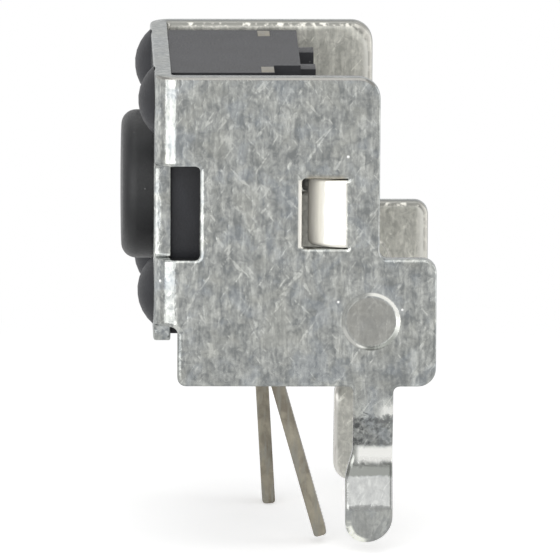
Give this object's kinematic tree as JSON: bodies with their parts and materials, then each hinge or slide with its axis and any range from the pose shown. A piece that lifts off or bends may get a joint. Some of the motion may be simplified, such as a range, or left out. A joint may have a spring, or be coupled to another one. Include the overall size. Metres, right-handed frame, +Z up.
{
  "type": "tactile switch",
  "caption": "Side-push tactile switch: a round black button in a square moulded housing, held by a folded steel bracket with kinked board legs and flat leads.",
  "frame": {"origin": "on the circuit board's surface, midway between the two terminals, on the switch's middle plane", "axes": "+Z up from the board, the button faces -Y and is pressed along +Y, X runs from wing to wing"},
  "size_m": [0.0074, 0.0072, 0.0112],
  "materials": {
    "tinned_steel": "tin plate, satin, mottled and finely scratched",
    "black_moulding": "fine matt moulding",
    "button_plastic": "fine matt moulding",
    "dome_steel": "bright rolled spring steel",
    "tarnished_contact": "plated brass, tarnished grey-brown"
  },
  "bodies": {
    "switch": {"bracket": "tinned_steel", "housing": "black_moulding", "contact_dome": "dome_steel", "terminal_right": "tarnished_contact", "terminal_left": "tarnished_contact"},
    "button": {"button": "button_plastic"}
  },
  "joints": [
    {"name": "button_press", "type": "slide", "parent": "switch", "child": "button", "axis": [0, 1, 0], "range_m": [0, 0.00025], "stiffness_N_per_m": 6400, "deforming": ["contact_dome"]}
  ]
}
